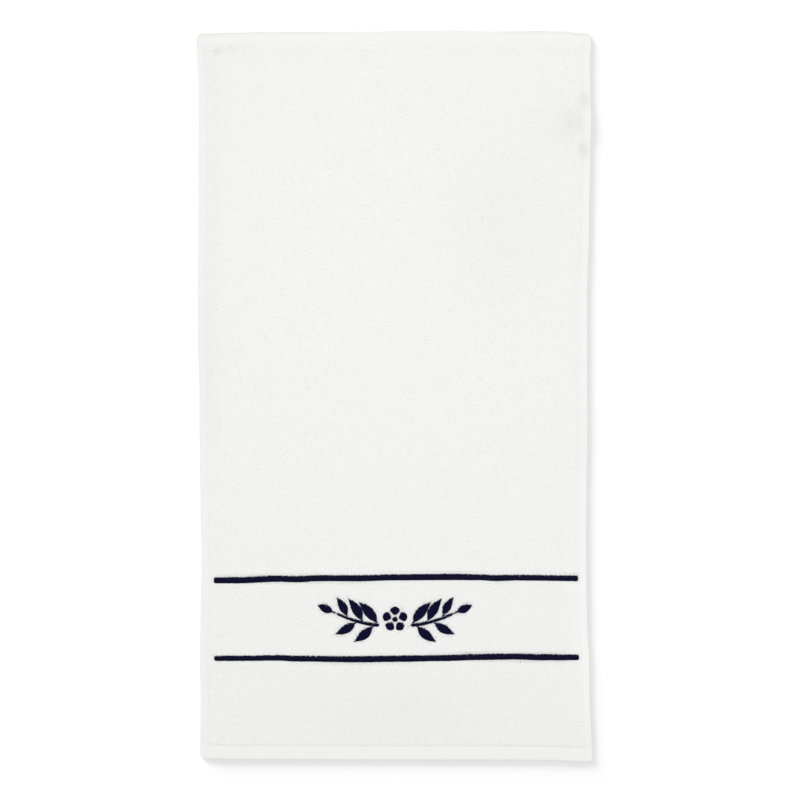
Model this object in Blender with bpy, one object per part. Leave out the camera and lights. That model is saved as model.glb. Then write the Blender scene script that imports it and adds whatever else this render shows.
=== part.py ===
"""A white terry hand towel lying flat: folded hems, two satin-stitched bars and a leafy sprig between them.

The cloth lies face up on z = 0 with its width along X and its length along Y. The stitched end is at -Y.
"""

import bpy
import numpy as np

MM = 0.001

# The cloth, laid square.
WIDTH = 406 * MM
LENGTH = 762 * MM
BODY_THICKNESS = 3.1 * MM
HEM_THICKNESS = 2.8 * MM
CORNER_RADIUS = 5 * MM
FOLD_RADIUS = 1.2 * MM

# The hems: how wide each is turned in, and how far its line of stitches pulls the pile down.
SIDE_HEM = 7.5 * MM
END_HEM = 14 * MM
STITCH_DIP = 1.1 * MM
STITCH_DIP_WIDTH = 1.3 * MM
HEM_RAMP = 3.5 * MM

# How far each edge lies outside the square-cut cloth. Side rows run up Y, end rows along X.
LEFT_EDGE = (
    # along, outwards
    (-378 * MM, 0.8 * MM),
    (-319 * MM, 0.8 * MM),
    (-277 * MM, 1.4 * MM),
    (-235 * MM, -0.2 * MM),
    (-180 * MM, -1.3 * MM),
    (-110 * MM, -0.2 * MM),
    (-26 * MM, 0.9 * MM),
    (100 * MM, 2.9 * MM),
    (200 * MM, 1.9 * MM),
    (335 * MM, 1.9 * MM),
    (358 * MM, 4.0 * MM),
    (378 * MM, 3.8 * MM),
)
RIGHT_EDGE = (
    # along, outwards
    (-378 * MM, 4.0 * MM),
    (-361 * MM, 2.9 * MM),
    (-319 * MM, 0.8 * MM),
    (-277 * MM, 0.3 * MM),
    (-235 * MM, -1.8 * MM),
    (-151 * MM, -2.8 * MM),
    (-26 * MM, -1.8 * MM),
    (100 * MM, -2.3 * MM),
    (184 * MM, -0.2 * MM),
    (268 * MM, 1.2 * MM),
    (290 * MM, 2.1 * MM),
    (317 * MM, 1.4 * MM),
    (352 * MM, 0.8 * MM),
    (371 * MM, 2.4 * MM),
)
FOOT_EDGE = (
    # along, outwards
    (-194 * MM, -1.4 * MM),
    (-170 * MM, -0.8 * MM),
    (110 * MM, -0.8 * MM),
    (160 * MM, -0.2 * MM),
    (190 * MM, 1.0 * MM),
)
HEAD_EDGE = (
    # along, outwards
    (-196 * MM, -2.1 * MM),
    (-165 * MM, -1.0 * MM),
    (-140 * MM, 0.0 * MM),
    (0 * MM, 0.4 * MM),
    (60 * MM, 0.9 * MM),
    (172 * MM, 0.8 * MM),
    (192 * MM, -1.2 * MM),
)

# Soft ridges and troughs in the face. Heading is in degrees from +X.
SOFT_FOLDS = (
    # x, y, heading, half length, half width, rise
    (128 * MM, 162 * MM, 24, 75 * MM, 20 * MM, 0.45 * MM),
    (160 * MM, -12 * MM, -28, 60 * MM, 18 * MM, 0.40 * MM),
    (140 * MM, -112 * MM, 14, 80 * MM, 22 * MM, -0.30 * MM),
    (-40 * MM, 305 * MM, -8, 120 * MM, 45 * MM, 0.35 * MM),
    (-120 * MM, 60 * MM, 62, 110 * MM, 34 * MM, 0.25 * MM),
    (10 * MM, -325 * MM, 0, 120 * MM, 22 * MM, -0.30 * MM),
    (187 * MM, 289 * MM, 90, 17 * MM, 9 * MM, -0.9 * MM),
    (199 * MM, 312 * MM, 90, 7 * MM, 5 * MM, -1.1 * MM),
    (198 * MM, 259 * MM, 90, 7 * MM, 4.5 * MM, -1.1 * MM),
)

# The one place where the cloth leaves the surface: its right edge has puckered up along the hem.
COCKLE_PLACE = 286 * MM
COCKLE_HALF_LENGTH = 27 * MM
COCKLE_REACH = 16 * MM
COCKLE_LIFT = 2.4 * MM
COCKLE_ROWS = 14

# Grid stations: their distances in from an edge, then even cells across the middle.
SIDE_STATIONS = (0, 0.35 * MM, 1.2 * MM, 3.6 * MM, 6.0 * MM, 7.5 * MM, 9.0 * MM, 11.5 * MM)
END_STATIONS = (0, 0.35 * MM, 1.2 * MM, 5 * MM, 11 * MM, 12.6 * MM, 14 * MM, 15.5 * MM, 18 * MM)
CELLS_ACROSS = 28
CELLS_ALONG = 50

# The stitched bars, as the line that each one's middle follows.
BAR_WIDTH = 6.2 * MM
BAR_STEP = 8 * MM
UPPER_BAR = (
    # x, y
    (-188.5 * MM, -193.0 * MM),
    (-110 * MM, -191.6 * MM),
    (-60 * MM, -190.3 * MM),
    (40 * MM, -189.6 * MM),
    (120 * MM, -190.5 * MM),
    (191.5 * MM, -190.8 * MM),
)
LOWER_BAR = (
    # x, y
    (-188.0 * MM, -275.0 * MM),
    (-60 * MM, -275.5 * MM),
    (35 * MM, -274.6 * MM),
    (110 * MM, -273.5 * MM),
    (192.0 * MM, -273.7 * MM),
)

# Stitching stands on the cloth in low rounded bands.
CLEARANCE = 0.3 * MM
STITCH_HEIGHT = 0.9 * MM
LOWEST_SHARE = 0.6
NARROWEST = 0.35 * MM
BAND_SECTION = (
    # side, height, both as shares
    (-1.0, 0.0),
    (-1.0, 0.5),
    (-0.55, 0.9),
    (0.0, 1.0),
    (0.55, 0.9),
    (1.0, 0.5),
    (1.0, 0.0),
)

# The sprig: a five-petalled flower with a leafy branch to each side.
SPRIG_X = 0.5 * MM
SPRIG_Y = -233 * MM
PETALS = 5
PETAL_START = 4.2 * MM
PETAL_END = 13.4 * MM
PETAL_WIDTH = 10.2 * MM
FLOWER_Y = -1 * MM
FLOWER_EYE = 2.8 * MM
STEM_START = 16.5 * MM
STEM_END = 61 * MM
STEM_LOW = -7 * MM
STEM_RISE = 12 * MM
STEM_CURVE = 1.7
STEM_WIDTH = 4.0 * MM
STEM_TAPER = 0.3
LEAF_GAP = 0.9 * MM
LEAF_BEND = 0.16
LEAF_FULLEST = 0.85
PETAL_FULLEST = 1.3
PETAL_ROUNDNESS = 0.7
LEAVES = (
    # place along the stem, turn from its heading, length, width
    (0.02, 56, 28 * MM, 10.4 * MM),
    (0.12, -54, 24 * MM, 9.8 * MM),
    (0.38, 54, 26 * MM, 10.0 * MM),
    (0.52, -54, 23 * MM, 9.4 * MM),
    (0.74, 50, 21 * MM, 8.8 * MM),
    (1.00, 0, 17 * MM, 8.6 * MM),
)


def eased(rows, at):
    """The value at each place, from rows of (place, value), moving from row to row with no corner."""
    places, values = np.transpose(rows)
    low = np.clip(np.searchsorted(places, at, side="right") - 1, 0, len(places) - 2)
    share = np.clip((at - places[low]) / (places[low + 1] - places[low]), 0, 1)
    share = share * share * (3 - 2 * share)
    return values[low] + (values[low + 1] - values[low]) * share


def rounded_corners(x, y):
    """Draws each square corner of the cloth in to a quarter circle."""
    beyond_x = np.clip((np.abs(x) - WIDTH / 2) / CORNER_RADIUS + 1, 0, 1)
    beyond_y = np.clip((np.abs(y) - LENGTH / 2) / CORNER_RADIUS + 1, 0, 1)
    draw_x = beyond_x * (1 - np.sqrt(1 - beyond_y**2 / 2))
    draw_y = beyond_y * (1 - np.sqrt(1 - beyond_x**2 / 2))
    return x - np.sign(x) * draw_x * CORNER_RADIUS, y - np.sign(y) * draw_y * CORNER_RADIUS


def laid(across, along):
    """Where each point of the square-cut cloth lies, once its edges are as uneven as they are."""
    x, y = rounded_corners(across, along)
    right = 0.5 + x / WIDTH
    head = 0.5 + y / LENGTH
    shift_x = right * eased(RIGHT_EDGE, y) - (1 - right) * eased(LEFT_EDGE, y)
    shift_y = head * eased(HEAD_EDGE, x) - (1 - head) * eased(FOOT_EDGE, x)
    return x + shift_x, y + shift_y


def face_height(x, y):
    """Height of the pile's top away from the hems: the cloth's thickness and its soft folds."""
    height = np.full_like(x, BODY_THICKNESS)
    for centre_x, centre_y, heading, half_length, half_width, rise in SOFT_FOLDS:
        turn = np.radians(heading)
        along = (x - centre_x) * np.cos(turn) + (y - centre_y) * np.sin(turn)
        across = (y - centre_y) * np.cos(turn) - (x - centre_x) * np.sin(turn)
        height += rise * np.exp(-((along / half_length) ** 2) - (across / half_width) ** 2)
    return height


def hem_drop(from_edge, hem_width):
    """How much lower than the body the cloth is: thinner over the hem, and pulled in along its stitches."""
    past = np.clip((from_edge - hem_width) / HEM_RAMP, 0, 1)
    thin = (BODY_THICKNESS - HEM_THICKNESS) * (1 - past * past * (3 - 2 * past))
    return thin + STITCH_DIP * np.exp(-(((from_edge - hem_width) / STITCH_DIP_WIDTH) ** 2))


def cockle(x, y):
    """How far the cloth has lifted off the surface at the pucker in its right edge."""
    inwards = np.clip(1 - (WIDTH / 2 - x) / COCKLE_REACH, 0, 1)
    along = np.clip(1 - np.abs(y - COCKLE_PLACE) / COCKLE_HALF_LENGTH, 0, 1)
    return COCKLE_LIFT * inwards**2 * along * along * (3 - 2 * along)


def stations(half_size, near_edge, cells, close=()):
    """Grid places from one edge to the other: near together at the hems and at `close`, even elsewhere."""
    near = np.array(near_edge)
    middle = np.linspace(near[-1] - half_size, half_size - near[-1], cells + 1)[1:-1]
    if len(close):
        spare = (close[1] - close[0]) / 2
        middle = middle[(middle < close[0] - spare) | (middle > close[-1] + spare)]
    return np.sort(np.concatenate([near - half_size, middle, close, half_size - near]))


def make_towel(material):
    """The cloth and its hems: two grids that meet along the fold at the edge."""
    puckered = COCKLE_PLACE + COCKLE_HALF_LENGTH * np.linspace(-1.3, 1.3, COCKLE_ROWS)
    across, along = np.meshgrid(
        stations(WIDTH / 2, SIDE_STATIONS, CELLS_ACROSS),
        stations(LENGTH / 2, END_STATIONS, CELLS_ALONG, puckered),
    )
    from_side = WIDTH / 2 - np.abs(across)
    from_end = LENGTH / 2 - np.abs(along)
    x, y = laid(across, along)
    thickness = face_height(x, y) - hem_drop(from_side, SIDE_HEM) - hem_drop(from_end, END_HEM)
    thickness = np.maximum(thickness, HEM_THICKNESS - STITCH_DIP)
    inside = np.clip(np.minimum(from_side, from_end) / FOLD_RADIUS, 0, 1)
    fold = np.sqrt(1 - (1 - inside) ** 2)
    lift = cockle(x, y)
    top = np.stack([x, y, lift + thickness * (1 + fold) / 2], axis=-1)
    underside = np.stack([x, y, lift + thickness * (1 - fold) / 2], axis=-1)

    rows, columns = x.shape
    rim = np.ones((rows, columns), bool)
    rim[1:-1, 1:-1] = False
    top_index = np.arange(rows * columns).reshape(rows, columns)
    under_index = top_index.copy()
    under_index[~rim] = rows * columns + np.arange((~rim).sum())
    points = np.concatenate([top.reshape(-1, 3), underside[~rim]])
    faces = np.concatenate([grid_faces(top_index), grid_faces(under_index)[:, ::-1]])
    return add_object("towel", points.tolist(), faces.tolist(), material)


def grid_faces(index):
    """The squares of a grid of point numbers, facing up."""
    squares = np.stack([index[:-1, :-1], index[:-1, 1:], index[1:, 1:], index[1:, :-1]], axis=-1)
    return squares.reshape(-1, 4)


def make_band(name, line, half_width, material):
    """A band of close stitches: a low rounded section carried along a line on the cloth."""
    line = np.asarray(line)
    forward = np.gradient(line, axis=0)
    forward /= np.linalg.norm(forward, axis=1)[:, None]
    sideways = np.stack([forward[:, 1], -forward[:, 0]], axis=1)
    section = np.array(BAND_SECTION)
    offset = section[None, :, :1] * half_width[:, None, None] * sideways[:, None, :]
    flat = line[:, None, :] + offset
    fullness = np.clip(2 * half_width / half_width.max(), LOWEST_SHARE, 1)[:, None]
    height = CLEARANCE + section[None, :, 1] * STITCH_HEIGHT * fullness
    points = np.dstack([flat, face_height(flat[..., 0], flat[..., 1]) + height])

    rings, corners = height.shape
    index = np.arange(rings * corners).reshape(rings, corners)
    around = np.concatenate([index, index[:, :1]], axis=1)
    faces = grid_faces(around).tolist()
    faces.append(index[0, ::-1].tolist())
    faces.append(index[-1].tolist())
    return add_object(name, points.reshape(-1, 3).tolist(), faces, material)


def make_bar(name, rows, material):
    """A straight band right across the towel, with rounded ends."""
    start, end = rows[0][0], rows[-1][0]
    half = BAR_WIDTH / 2
    turn = np.radians((12, 35, 60, 90))
    round_end = half * (1 - np.cos(turn))
    middle = np.linspace(start + half, end - half, round((end - start) / BAR_STEP))
    x = np.concatenate([start + round_end[:-1], middle, end - round_end[-2::-1]])
    from_end = np.minimum(x - start, end - x)
    half_width = half * np.sqrt(1 - np.clip(1 - from_end / half, 0, 1) ** 2)
    return make_band(name, np.stack([x, eased(rows, x)], axis=1), half_width, material)


def stem_point(share):
    """A point of the right-hand stem, from the flower's side (0) to its tip (1)."""
    x = STEM_START + (STEM_END - STEM_START) * share
    return x, STEM_LOW + STEM_RISE * share**STEM_CURVE


def swelling(rings):
    """Places from 0 to 1 along a patch, closer together at its two ends."""
    return (1 - np.cos(np.linspace(0, np.pi, rings))) / 2


def make_leaf(name, side, share, turn, length, width, material):
    """A pointed leaf that starts just off the stem and bends towards the branch's tip."""
    base = np.array(stem_point(share))
    behind = np.array(stem_point(share * 0.9))
    heading = np.arctan2(*(base - behind)[::-1]) + np.radians(turn)
    forward = np.array([np.cos(heading), np.sin(heading)])
    inwards = np.sign(turn) * np.array([forward[1], -forward[0]])
    lean = max(abs(np.sin(np.radians(turn))), 0.5)
    start = STEM_WIDTH / 2 / lean + LEAF_GAP
    along = swelling(9)
    straight = base + forward * (start + length * along)[:, None]
    line = straight + inwards * (LEAF_BEND * length * along**2)[:, None]
    half_width = np.maximum(width / 2 * np.sin(np.pi * along**LEAF_FULLEST), NARROWEST)
    return make_band(name, line * (side, 1) + (SPRIG_X, SPRIG_Y), half_width, material)


def make_stem(name, side, material):
    """The stem of one branch, a little thinner towards its tip, with drawn-in ends."""
    share = np.linspace(0, 1, 13)
    line = np.stack(stem_point(share), axis=1) * (side, 1) + (SPRIG_X, SPRIG_Y)
    half_width = STEM_WIDTH / 2 * (1 - STEM_TAPER * share)
    half_width[[0, -1]] /= 2
    return make_band(name, line, half_width, material)


def make_petal(name, turn, material):
    """One round petal, from the flower's eye outwards."""
    share = swelling(8)
    reach = PETAL_START + (PETAL_END - PETAL_START) * share
    line = reach[:, None] * (np.cos(turn), np.sin(turn)) + (SPRIG_X, SPRIG_Y + FLOWER_Y)
    roundness = np.sin(np.pi * share**PETAL_FULLEST).clip(0) ** PETAL_ROUNDNESS
    return make_band(name, line, np.maximum(PETAL_WIDTH / 2 * roundness, NARROWEST), material)


def make_eye(name, material):
    """The round spot in the middle of the flower."""
    across = FLOWER_EYE * (2 * swelling(9) - 1)
    line = np.stack([across + SPRIG_X, np.full_like(across, SPRIG_Y + FLOWER_Y)], axis=1)
    half_width = np.maximum(np.sqrt((FLOWER_EYE**2 - across**2).clip(0)), NARROWEST)
    return make_band(name, line, half_width, material)


def make_sprig(material):
    """The flower and both branches, each stitched patch an object of its own."""
    make_eye("flower_eye", material)
    for number in range(PETALS):
        make_petal(f"petal_{number + 1}", np.pi / 2 + number * 2 * np.pi / PETALS, material)
    for side, word in ((-1, "left"), (1, "right")):
        make_stem(f"stem_{word}", side, material)
        for number, leaf in enumerate(LEAVES):
            make_leaf(f"leaf_{word}_{number + 1}", side, *leaf, material)


def add_object(name, points, faces, material):
    """A smooth-shaded mesh object of these points and faces."""
    mesh = bpy.data.meshes.new(name)
    mesh.from_pydata(points, [], faces)
    mesh.shade_smooth()
    mesh.set_sharp_from_angle(angle=np.radians(50))
    mesh.materials.append(material)
    made = bpy.data.objects.new(name, mesh)
    bpy.context.scene.collection.objects.link(made)
    return made


def make_material(name, colour, roughness):
    """A plain cloth or thread finish."""
    material = bpy.data.materials.new(name)
    material.use_nodes = True
    surface = material.node_tree.nodes["Principled BSDF"]
    surface.inputs["Base Color"].default_value = (*colour, 1)
    surface.inputs["Roughness"].default_value = roughness
    surface.inputs["Metallic"].default_value = 0
    return material


def main():
    for old in list(bpy.data.objects):
        bpy.data.objects.remove(old)
    make_towel(make_material("white terry", (0.87, 0.87, 0.85), 0.95))
    bar_thread = make_material("navy bar thread", (0.007, 0.007, 0.026), 0.5)
    make_bar("upper_bar", UPPER_BAR, bar_thread)
    make_bar("lower_bar", LOWER_BAR, bar_thread)
    make_sprig(make_material("navy sprig thread", (0.007, 0.007, 0.026), 0.5))


main()
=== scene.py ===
# %% [markdown]
# # A terry hand towel, seen from straight above
#
# This lesson dresses a plain solid model of a hand towel. The solids give every size and place.
# Here the cloth gets its pile, its hems their stitches, and the embroidery its single threads.
# The script first loads the solids as a fixed frame, and nothing below moves or resizes them.

import bpy
import numpy as np
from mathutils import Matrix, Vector


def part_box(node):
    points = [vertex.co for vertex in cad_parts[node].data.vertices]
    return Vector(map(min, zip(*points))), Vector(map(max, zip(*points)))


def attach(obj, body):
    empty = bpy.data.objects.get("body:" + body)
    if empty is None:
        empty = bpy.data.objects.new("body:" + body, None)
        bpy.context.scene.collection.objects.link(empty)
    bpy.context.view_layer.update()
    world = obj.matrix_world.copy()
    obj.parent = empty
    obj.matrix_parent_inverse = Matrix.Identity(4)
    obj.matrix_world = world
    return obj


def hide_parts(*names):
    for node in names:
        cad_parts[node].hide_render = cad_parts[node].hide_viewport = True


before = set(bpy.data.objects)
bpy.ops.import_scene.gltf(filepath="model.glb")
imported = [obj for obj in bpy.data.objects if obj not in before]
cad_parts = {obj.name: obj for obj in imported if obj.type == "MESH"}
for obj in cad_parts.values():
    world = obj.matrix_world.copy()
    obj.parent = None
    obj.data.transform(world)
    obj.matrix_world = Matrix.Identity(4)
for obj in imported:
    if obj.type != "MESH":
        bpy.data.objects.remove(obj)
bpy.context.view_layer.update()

MM = 0.001

# %% [markdown]
# ## Driving sizes
#
# A maker knows a towel by a few sizes: its cut size, its hems, and where the embroidery goes.
# Everything else is worked out from them. The cloth lies face up on z = 0, with its width along
# X and its length along Y, and the stitched end is at -Y.

# %% Driving sizes
WIDTH = 406 * MM
LENGTH = 762 * MM
BODY_THICKNESS = 3.1 * MM
HEM_THICKNESS = 2.8 * MM
CORNER_RADIUS = 5 * MM
FOLD_RADIUS = 0.7 * MM
FUZZ = 0.45 * MM
SIDE_HEM = 7.5 * MM
END_HEM = 14 * MM
SIDE_DIP = 0.1 * MM
END_DIP = 0.4 * MM
STITCH_DIP_WIDTH = 1.3 * MM
HEM_RAMP = 3.5 * MM
towel_low, towel_high = (np.array(corner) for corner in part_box("towel"))
print("towel solid:", np.round((towel_high - towel_low) / MM, 1), "mm")

# %% [markdown]
# ## Camera and light
#
# The photograph looks straight down, so the cloth keeps its true proportions. A long lens from
# two and a half metres hardly changes scale over a sheet three millimetres thick. The frame is
# square, and its width on the cloth sets the lens. The light is a white room and a big soft lamp
# overhead. A faint lamp from the upper left brings out the pile and the folds, and a low one from
# the same side, which falls on the floor alone, draws the shadow to the right and below. The
# floor is paper that glows a little, so away from the shadow it goes to plain white.

# %% Camera
FRAME_WIDTH = 838.4 * MM
FRAME_CENTRE = (5.76 * MM, -4.19 * MM)
CAMERA_HEIGHT = 2.5
SENSOR = 36.0
FAR_CLIP = 60

lens = bpy.data.cameras.new("view_from_above")
lens.sensor_width = SENSOR
lens.lens = SENSOR * (CAMERA_HEIGHT - BODY_THICKNESS) / FRAME_WIDTH
lens.clip_end = FAR_CLIP
camera = bpy.data.objects.new("view_from_above", lens)
camera.location = (*FRAME_CENTRE, CAMERA_HEIGHT)
bpy.context.scene.collection.objects.link(camera)
bpy.context.scene.camera = camera
bpy.context.scene.view_settings.view_transform = "Standard"
print("lens:", round(lens.lens, 1), "mm")

# %% Light and floor
ROOM_LIGHT = 0.85
LAMP_POWER = 4.5
LAMP_SIZE = 1.0
LAMP_PLACE = (0.01, 0.20, 1.3)
SIDE_LIGHT = 0.28
SIDE_RISE = 27.0
LOW_LIGHT = 14.6
LOW_RISE = 8.0
LIGHT_HEADING = 128.0
SOFTNESS = 26.0
FLOOR_SIZE = 24.0
PAPER_TONE = 0.34
PAPER_GLOW = 0.430

room = bpy.data.worlds.new("white_room")
room.use_nodes = True
room_sockets = room.node_tree.nodes["Background"].inputs
room_sockets["Color"].default_value = (1, 1, 1, 1)
room_sockets["Strength"].default_value = ROOM_LIGHT
bpy.context.scene.world = room


def add_light(name, kind, **settings):
    """A light object with these settings, not seen by the camera."""
    light = bpy.data.lights.new(name, kind)
    for key, value in settings.items():
        setattr(light, key, value)
    placed = bpy.data.objects.new(name, light)
    placed.visible_camera = False
    bpy.context.scene.collection.objects.link(placed)
    return placed


def aim(placed, towards):
    """Turns a light so that its own -Z points along `towards`."""
    placed.rotation_euler = Vector(towards).to_track_quat("-Z", "Y").to_euler()


soft_lamp = add_light("soft_lamp", "AREA", energy=LAMP_POWER, shape="DISK", size=LAMP_SIZE)
soft_lamp.location = LAMP_PLACE
aim(soft_lamp, (0, 0, -1))
turn = np.radians(LIGHT_HEADING)
slanting = {}
for name, power, elevation in (("side_lamp", SIDE_LIGHT, SIDE_RISE), ("low_lamp", LOW_LIGHT, LOW_RISE)):
    rise = np.radians(elevation)
    slanting[name] = add_light(name, "SUN", energy=power, angle=np.radians(SOFTNESS))
    aim(slanting[name], (-np.cos(turn) * np.cos(rise), -np.sin(turn) * np.cos(rise), -np.sin(rise)))

floor_mesh = bpy.data.meshes.new("floor")
floor_corners = np.array([(-1, -1, 0), (1, -1, 0), (1, 1, 0), (-1, 1, 0)]) * FLOOR_SIZE / 2
floor_mesh.from_pydata(floor_corners.tolist(), [], [(0, 1, 2, 3)])
floor = bpy.data.objects.new("floor", floor_mesh)
bpy.context.scene.collection.objects.link(floor)
paper = bpy.data.materials.new("white paper")
paper.use_nodes = True
paper_surface = paper.node_tree.nodes["Principled BSDF"].inputs
paper_surface["Base Color"].default_value = (PAPER_TONE, PAPER_TONE, PAPER_TONE, 1)
paper_surface["Roughness"].default_value = 1.0
paper_surface["Specular IOR Level"].default_value = 0.0
paper_surface["Emission Color"].default_value = (1, 1, 1, 1)
paper_surface["Emission Strength"].default_value = PAPER_GLOW
floor_mesh.materials.append(paper)
lit_floor = bpy.data.collections.new("lit_floor")
lit_floor.objects.link(floor)
slanting["low_lamp"].light_linking.receiver_collection = lit_floor
print("lamps:", 1 + len(slanting), "and the room")

# %% [markdown]
# ## How uneven the cloth lies
#
# No towel lies as a perfect rectangle. The hems draw the long edges in and out by a few
# millimetres, and the turned-in ends stand out where they are thickest. Each edge has a short
# table of places, with how far the cloth lies outside its cut size there. A smoothstep between
# rows, 3t^2 - 2t^3, keeps the edge free of corners. The pile's fuzz makes the rim stand out a
# little more, which fades so fast inwards that nothing else moves.

# %% The four edges
LEFT_EDGE = (
    # along Y, outwards
    (-378 * MM, 0.2 * MM),
    (-319 * MM, -0.4 * MM),
    (-277 * MM, 0.4 * MM),
    (-235 * MM, -0.2 * MM),
    (-180 * MM, -1.3 * MM),
    (-110 * MM, -0.2 * MM),
    (-26 * MM, 0.9 * MM),
    (100 * MM, 2.9 * MM),
    (200 * MM, 1.9 * MM),
    (335 * MM, 1.9 * MM),
    (358 * MM, 4.0 * MM),
    (378 * MM, 3.8 * MM),
)
RIGHT_EDGE = (
    # along Y, outwards
    (-378 * MM, 4.5 * MM),
    (-361 * MM, 3.6 * MM),
    (-319 * MM, 1.6 * MM),
    (-277 * MM, 1.0 * MM),
    (-235 * MM, -1.2 * MM),
    (-151 * MM, -2.1 * MM),
    (-26 * MM, -1.0 * MM),
    (100 * MM, -1.2 * MM),
    (184 * MM, 1.0 * MM),
    (268 * MM, 2.4 * MM),
    (290 * MM, 3.3 * MM),
    (317 * MM, 2.6 * MM),
    (352 * MM, 1.6 * MM),
    (371 * MM, 3.0 * MM),
)
FOOT_EDGE = (
    # along X, outwards
    (-194 * MM, -1.2 * MM),
    (-170 * MM, -0.3 * MM),
    (110 * MM, 0.1 * MM),
    (160 * MM, 0.6 * MM),
    (190 * MM, 1.8 * MM),
)
HEAD_EDGE = (
    # along X, outwards
    (-196 * MM, -1.5 * MM),
    (-165 * MM, -0.5 * MM),
    (-140 * MM, -0.1 * MM),
    (-70 * MM, 0.1 * MM),
    (-22 * MM, 0.4 * MM),
    (5 * MM, 1.4 * MM),
    (75 * MM, 1.6 * MM),
    (103 * MM, 0.7 * MM),
    (155 * MM, 1.1 * MM),
    (176 * MM, 0.6 * MM),
    (192 * MM, -1.3 * MM),
)


SIDE_FUZZ_FADE = 20
END_FUZZ_FADE = 40


def smoothstep(share):
    """0 below 0, 1 above 1, and 3t^2 - 2t^3 between."""
    share = np.clip(share, 0, 1)
    return share * share * (3 - 2 * share)


def eased(rows, at):
    """The value at each place, from rows of (place, value), moving between rows by smoothstep."""
    places, values = np.transpose(rows)
    low = np.clip(np.searchsorted(places, at, side="right") - 1, 0, len(places) - 2)
    share = smoothstep((at - places[low]) / (places[low + 1] - places[low]))
    return values[low] + (values[low + 1] - values[low]) * share


def rounded_corners(x, y):
    """Draws each square corner in to a quarter circle: s becomes s * sqrt(1 - t^2 / 2), and t alike."""
    beyond_x = np.clip((np.abs(x) - WIDTH / 2) / CORNER_RADIUS + 1, 0, 1)
    beyond_y = np.clip((np.abs(y) - LENGTH / 2) / CORNER_RADIUS + 1, 0, 1)
    draw_x = beyond_x * (1 - np.sqrt(1 - beyond_y**2 / 2))
    draw_y = beyond_y * (1 - np.sqrt(1 - beyond_x**2 / 2))
    return x - np.sign(x) * draw_x * CORNER_RADIUS, y - np.sign(y) * draw_y * CORNER_RADIUS


def laid(across, along):
    """Where points of the cut cloth lie: an edge's shift fades to the far edge, and a power adds fuzz."""
    x, y = rounded_corners(across, along)
    right = 0.5 + x / WIDTH
    head = 0.5 + y / LENGTH
    shift_x = right * eased(RIGHT_EDGE, y) - (1 - right) * eased(LEFT_EDGE, y)
    shift_y = head * eased(HEAD_EDGE, x) - (1 - head) * eased(FOOT_EDGE, x)
    fuzz_x = FUZZ * np.clip(np.abs(x) * 2 / WIDTH, 0, 1) ** SIDE_FUZZ_FADE * np.sign(x)
    fuzz_y = FUZZ * np.clip(np.abs(y) * 2 / LENGTH, 0, 1) ** END_FUZZ_FADE * np.sign(y)
    return x + shift_x + fuzz_x, y + shift_y + fuzz_y


print("edge tables hold", sum(map(len, (LEFT_EDGE, RIGHT_EDGE, FOOT_EDGE, HEAD_EDGE))), "rows")

# %% [markdown]
# ## Soft folds and the pucker
#
# The face is nearly flat, with a few folds that hardly rise. Each is a stretched bell,
# rise * exp(-(u/length)^2 - (v/width)^2), where u and v run along and across its heading. Near the
# head the right hem has puckered: the edge lifts off the surface, with a pinch at either end. The
# end seams pull the cloth down, harder at the head than at the foot, and most at a few tight spots.
#
# Shade is painted into the colour at the pucker, in a few wide patches, and along the rim where it
# turns over at the head. This is kept as a share of painted shade. Below zero it is painted light
# instead, and the colour turns whiter.

# %% Soft folds and the pucker
FOOT, HEAD = -1, 1
SOFT_FOLDS = (
    # x, y, heading in degrees, half length, half width, rise
    (128 * MM, 162 * MM, 24, 75 * MM, 20 * MM, 0.45 * MM),
    (160 * MM, -12 * MM, -28, 60 * MM, 18 * MM, 0.40 * MM),
    (140 * MM, -112 * MM, 14, 80 * MM, 22 * MM, -0.30 * MM),
    (-40 * MM, 305 * MM, -8, 120 * MM, 45 * MM, 0.35 * MM),
    (-120 * MM, 60 * MM, 62, 110 * MM, 34 * MM, 0.25 * MM),
    (10 * MM, -325 * MM, 0, 120 * MM, 22 * MM, -0.30 * MM),
    (189 * MM, 289 * MM, 90, 13 * MM, 7 * MM, -1.3 * MM),
    (200 * MM, 312 * MM, 90, 8 * MM, 4 * MM, -1.5 * MM),
    (200 * MM, 259 * MM, 90, 8 * MM, 4 * MM, -1.5 * MM),
)
HEAD_PULL = 1.5
FOOT_PULL = 0.7
TIGHT_SPOTS = (
    # end, x along its seam, half length, how many dips deeper
    (FOOT, 117 * MM, 6 * MM, 1.2),
    (FOOT, 149 * MM, 8 * MM, 1.4),
    (FOOT, 178 * MM, 4 * MM, 1.2),
    (FOOT, -41 * MM, 3 * MM, 1.0),
    (FOOT, 17 * MM, 1.5 * MM, 1.0),
    (FOOT, 35 * MM, 1.5 * MM, 1.0),
    (HEAD, -182 * MM, 5 * MM, 1.4),
    (HEAD, -169 * MM, 2.5 * MM, 1.4),
    (HEAD, -155 * MM, 8 * MM, 1.2),
)
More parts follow.
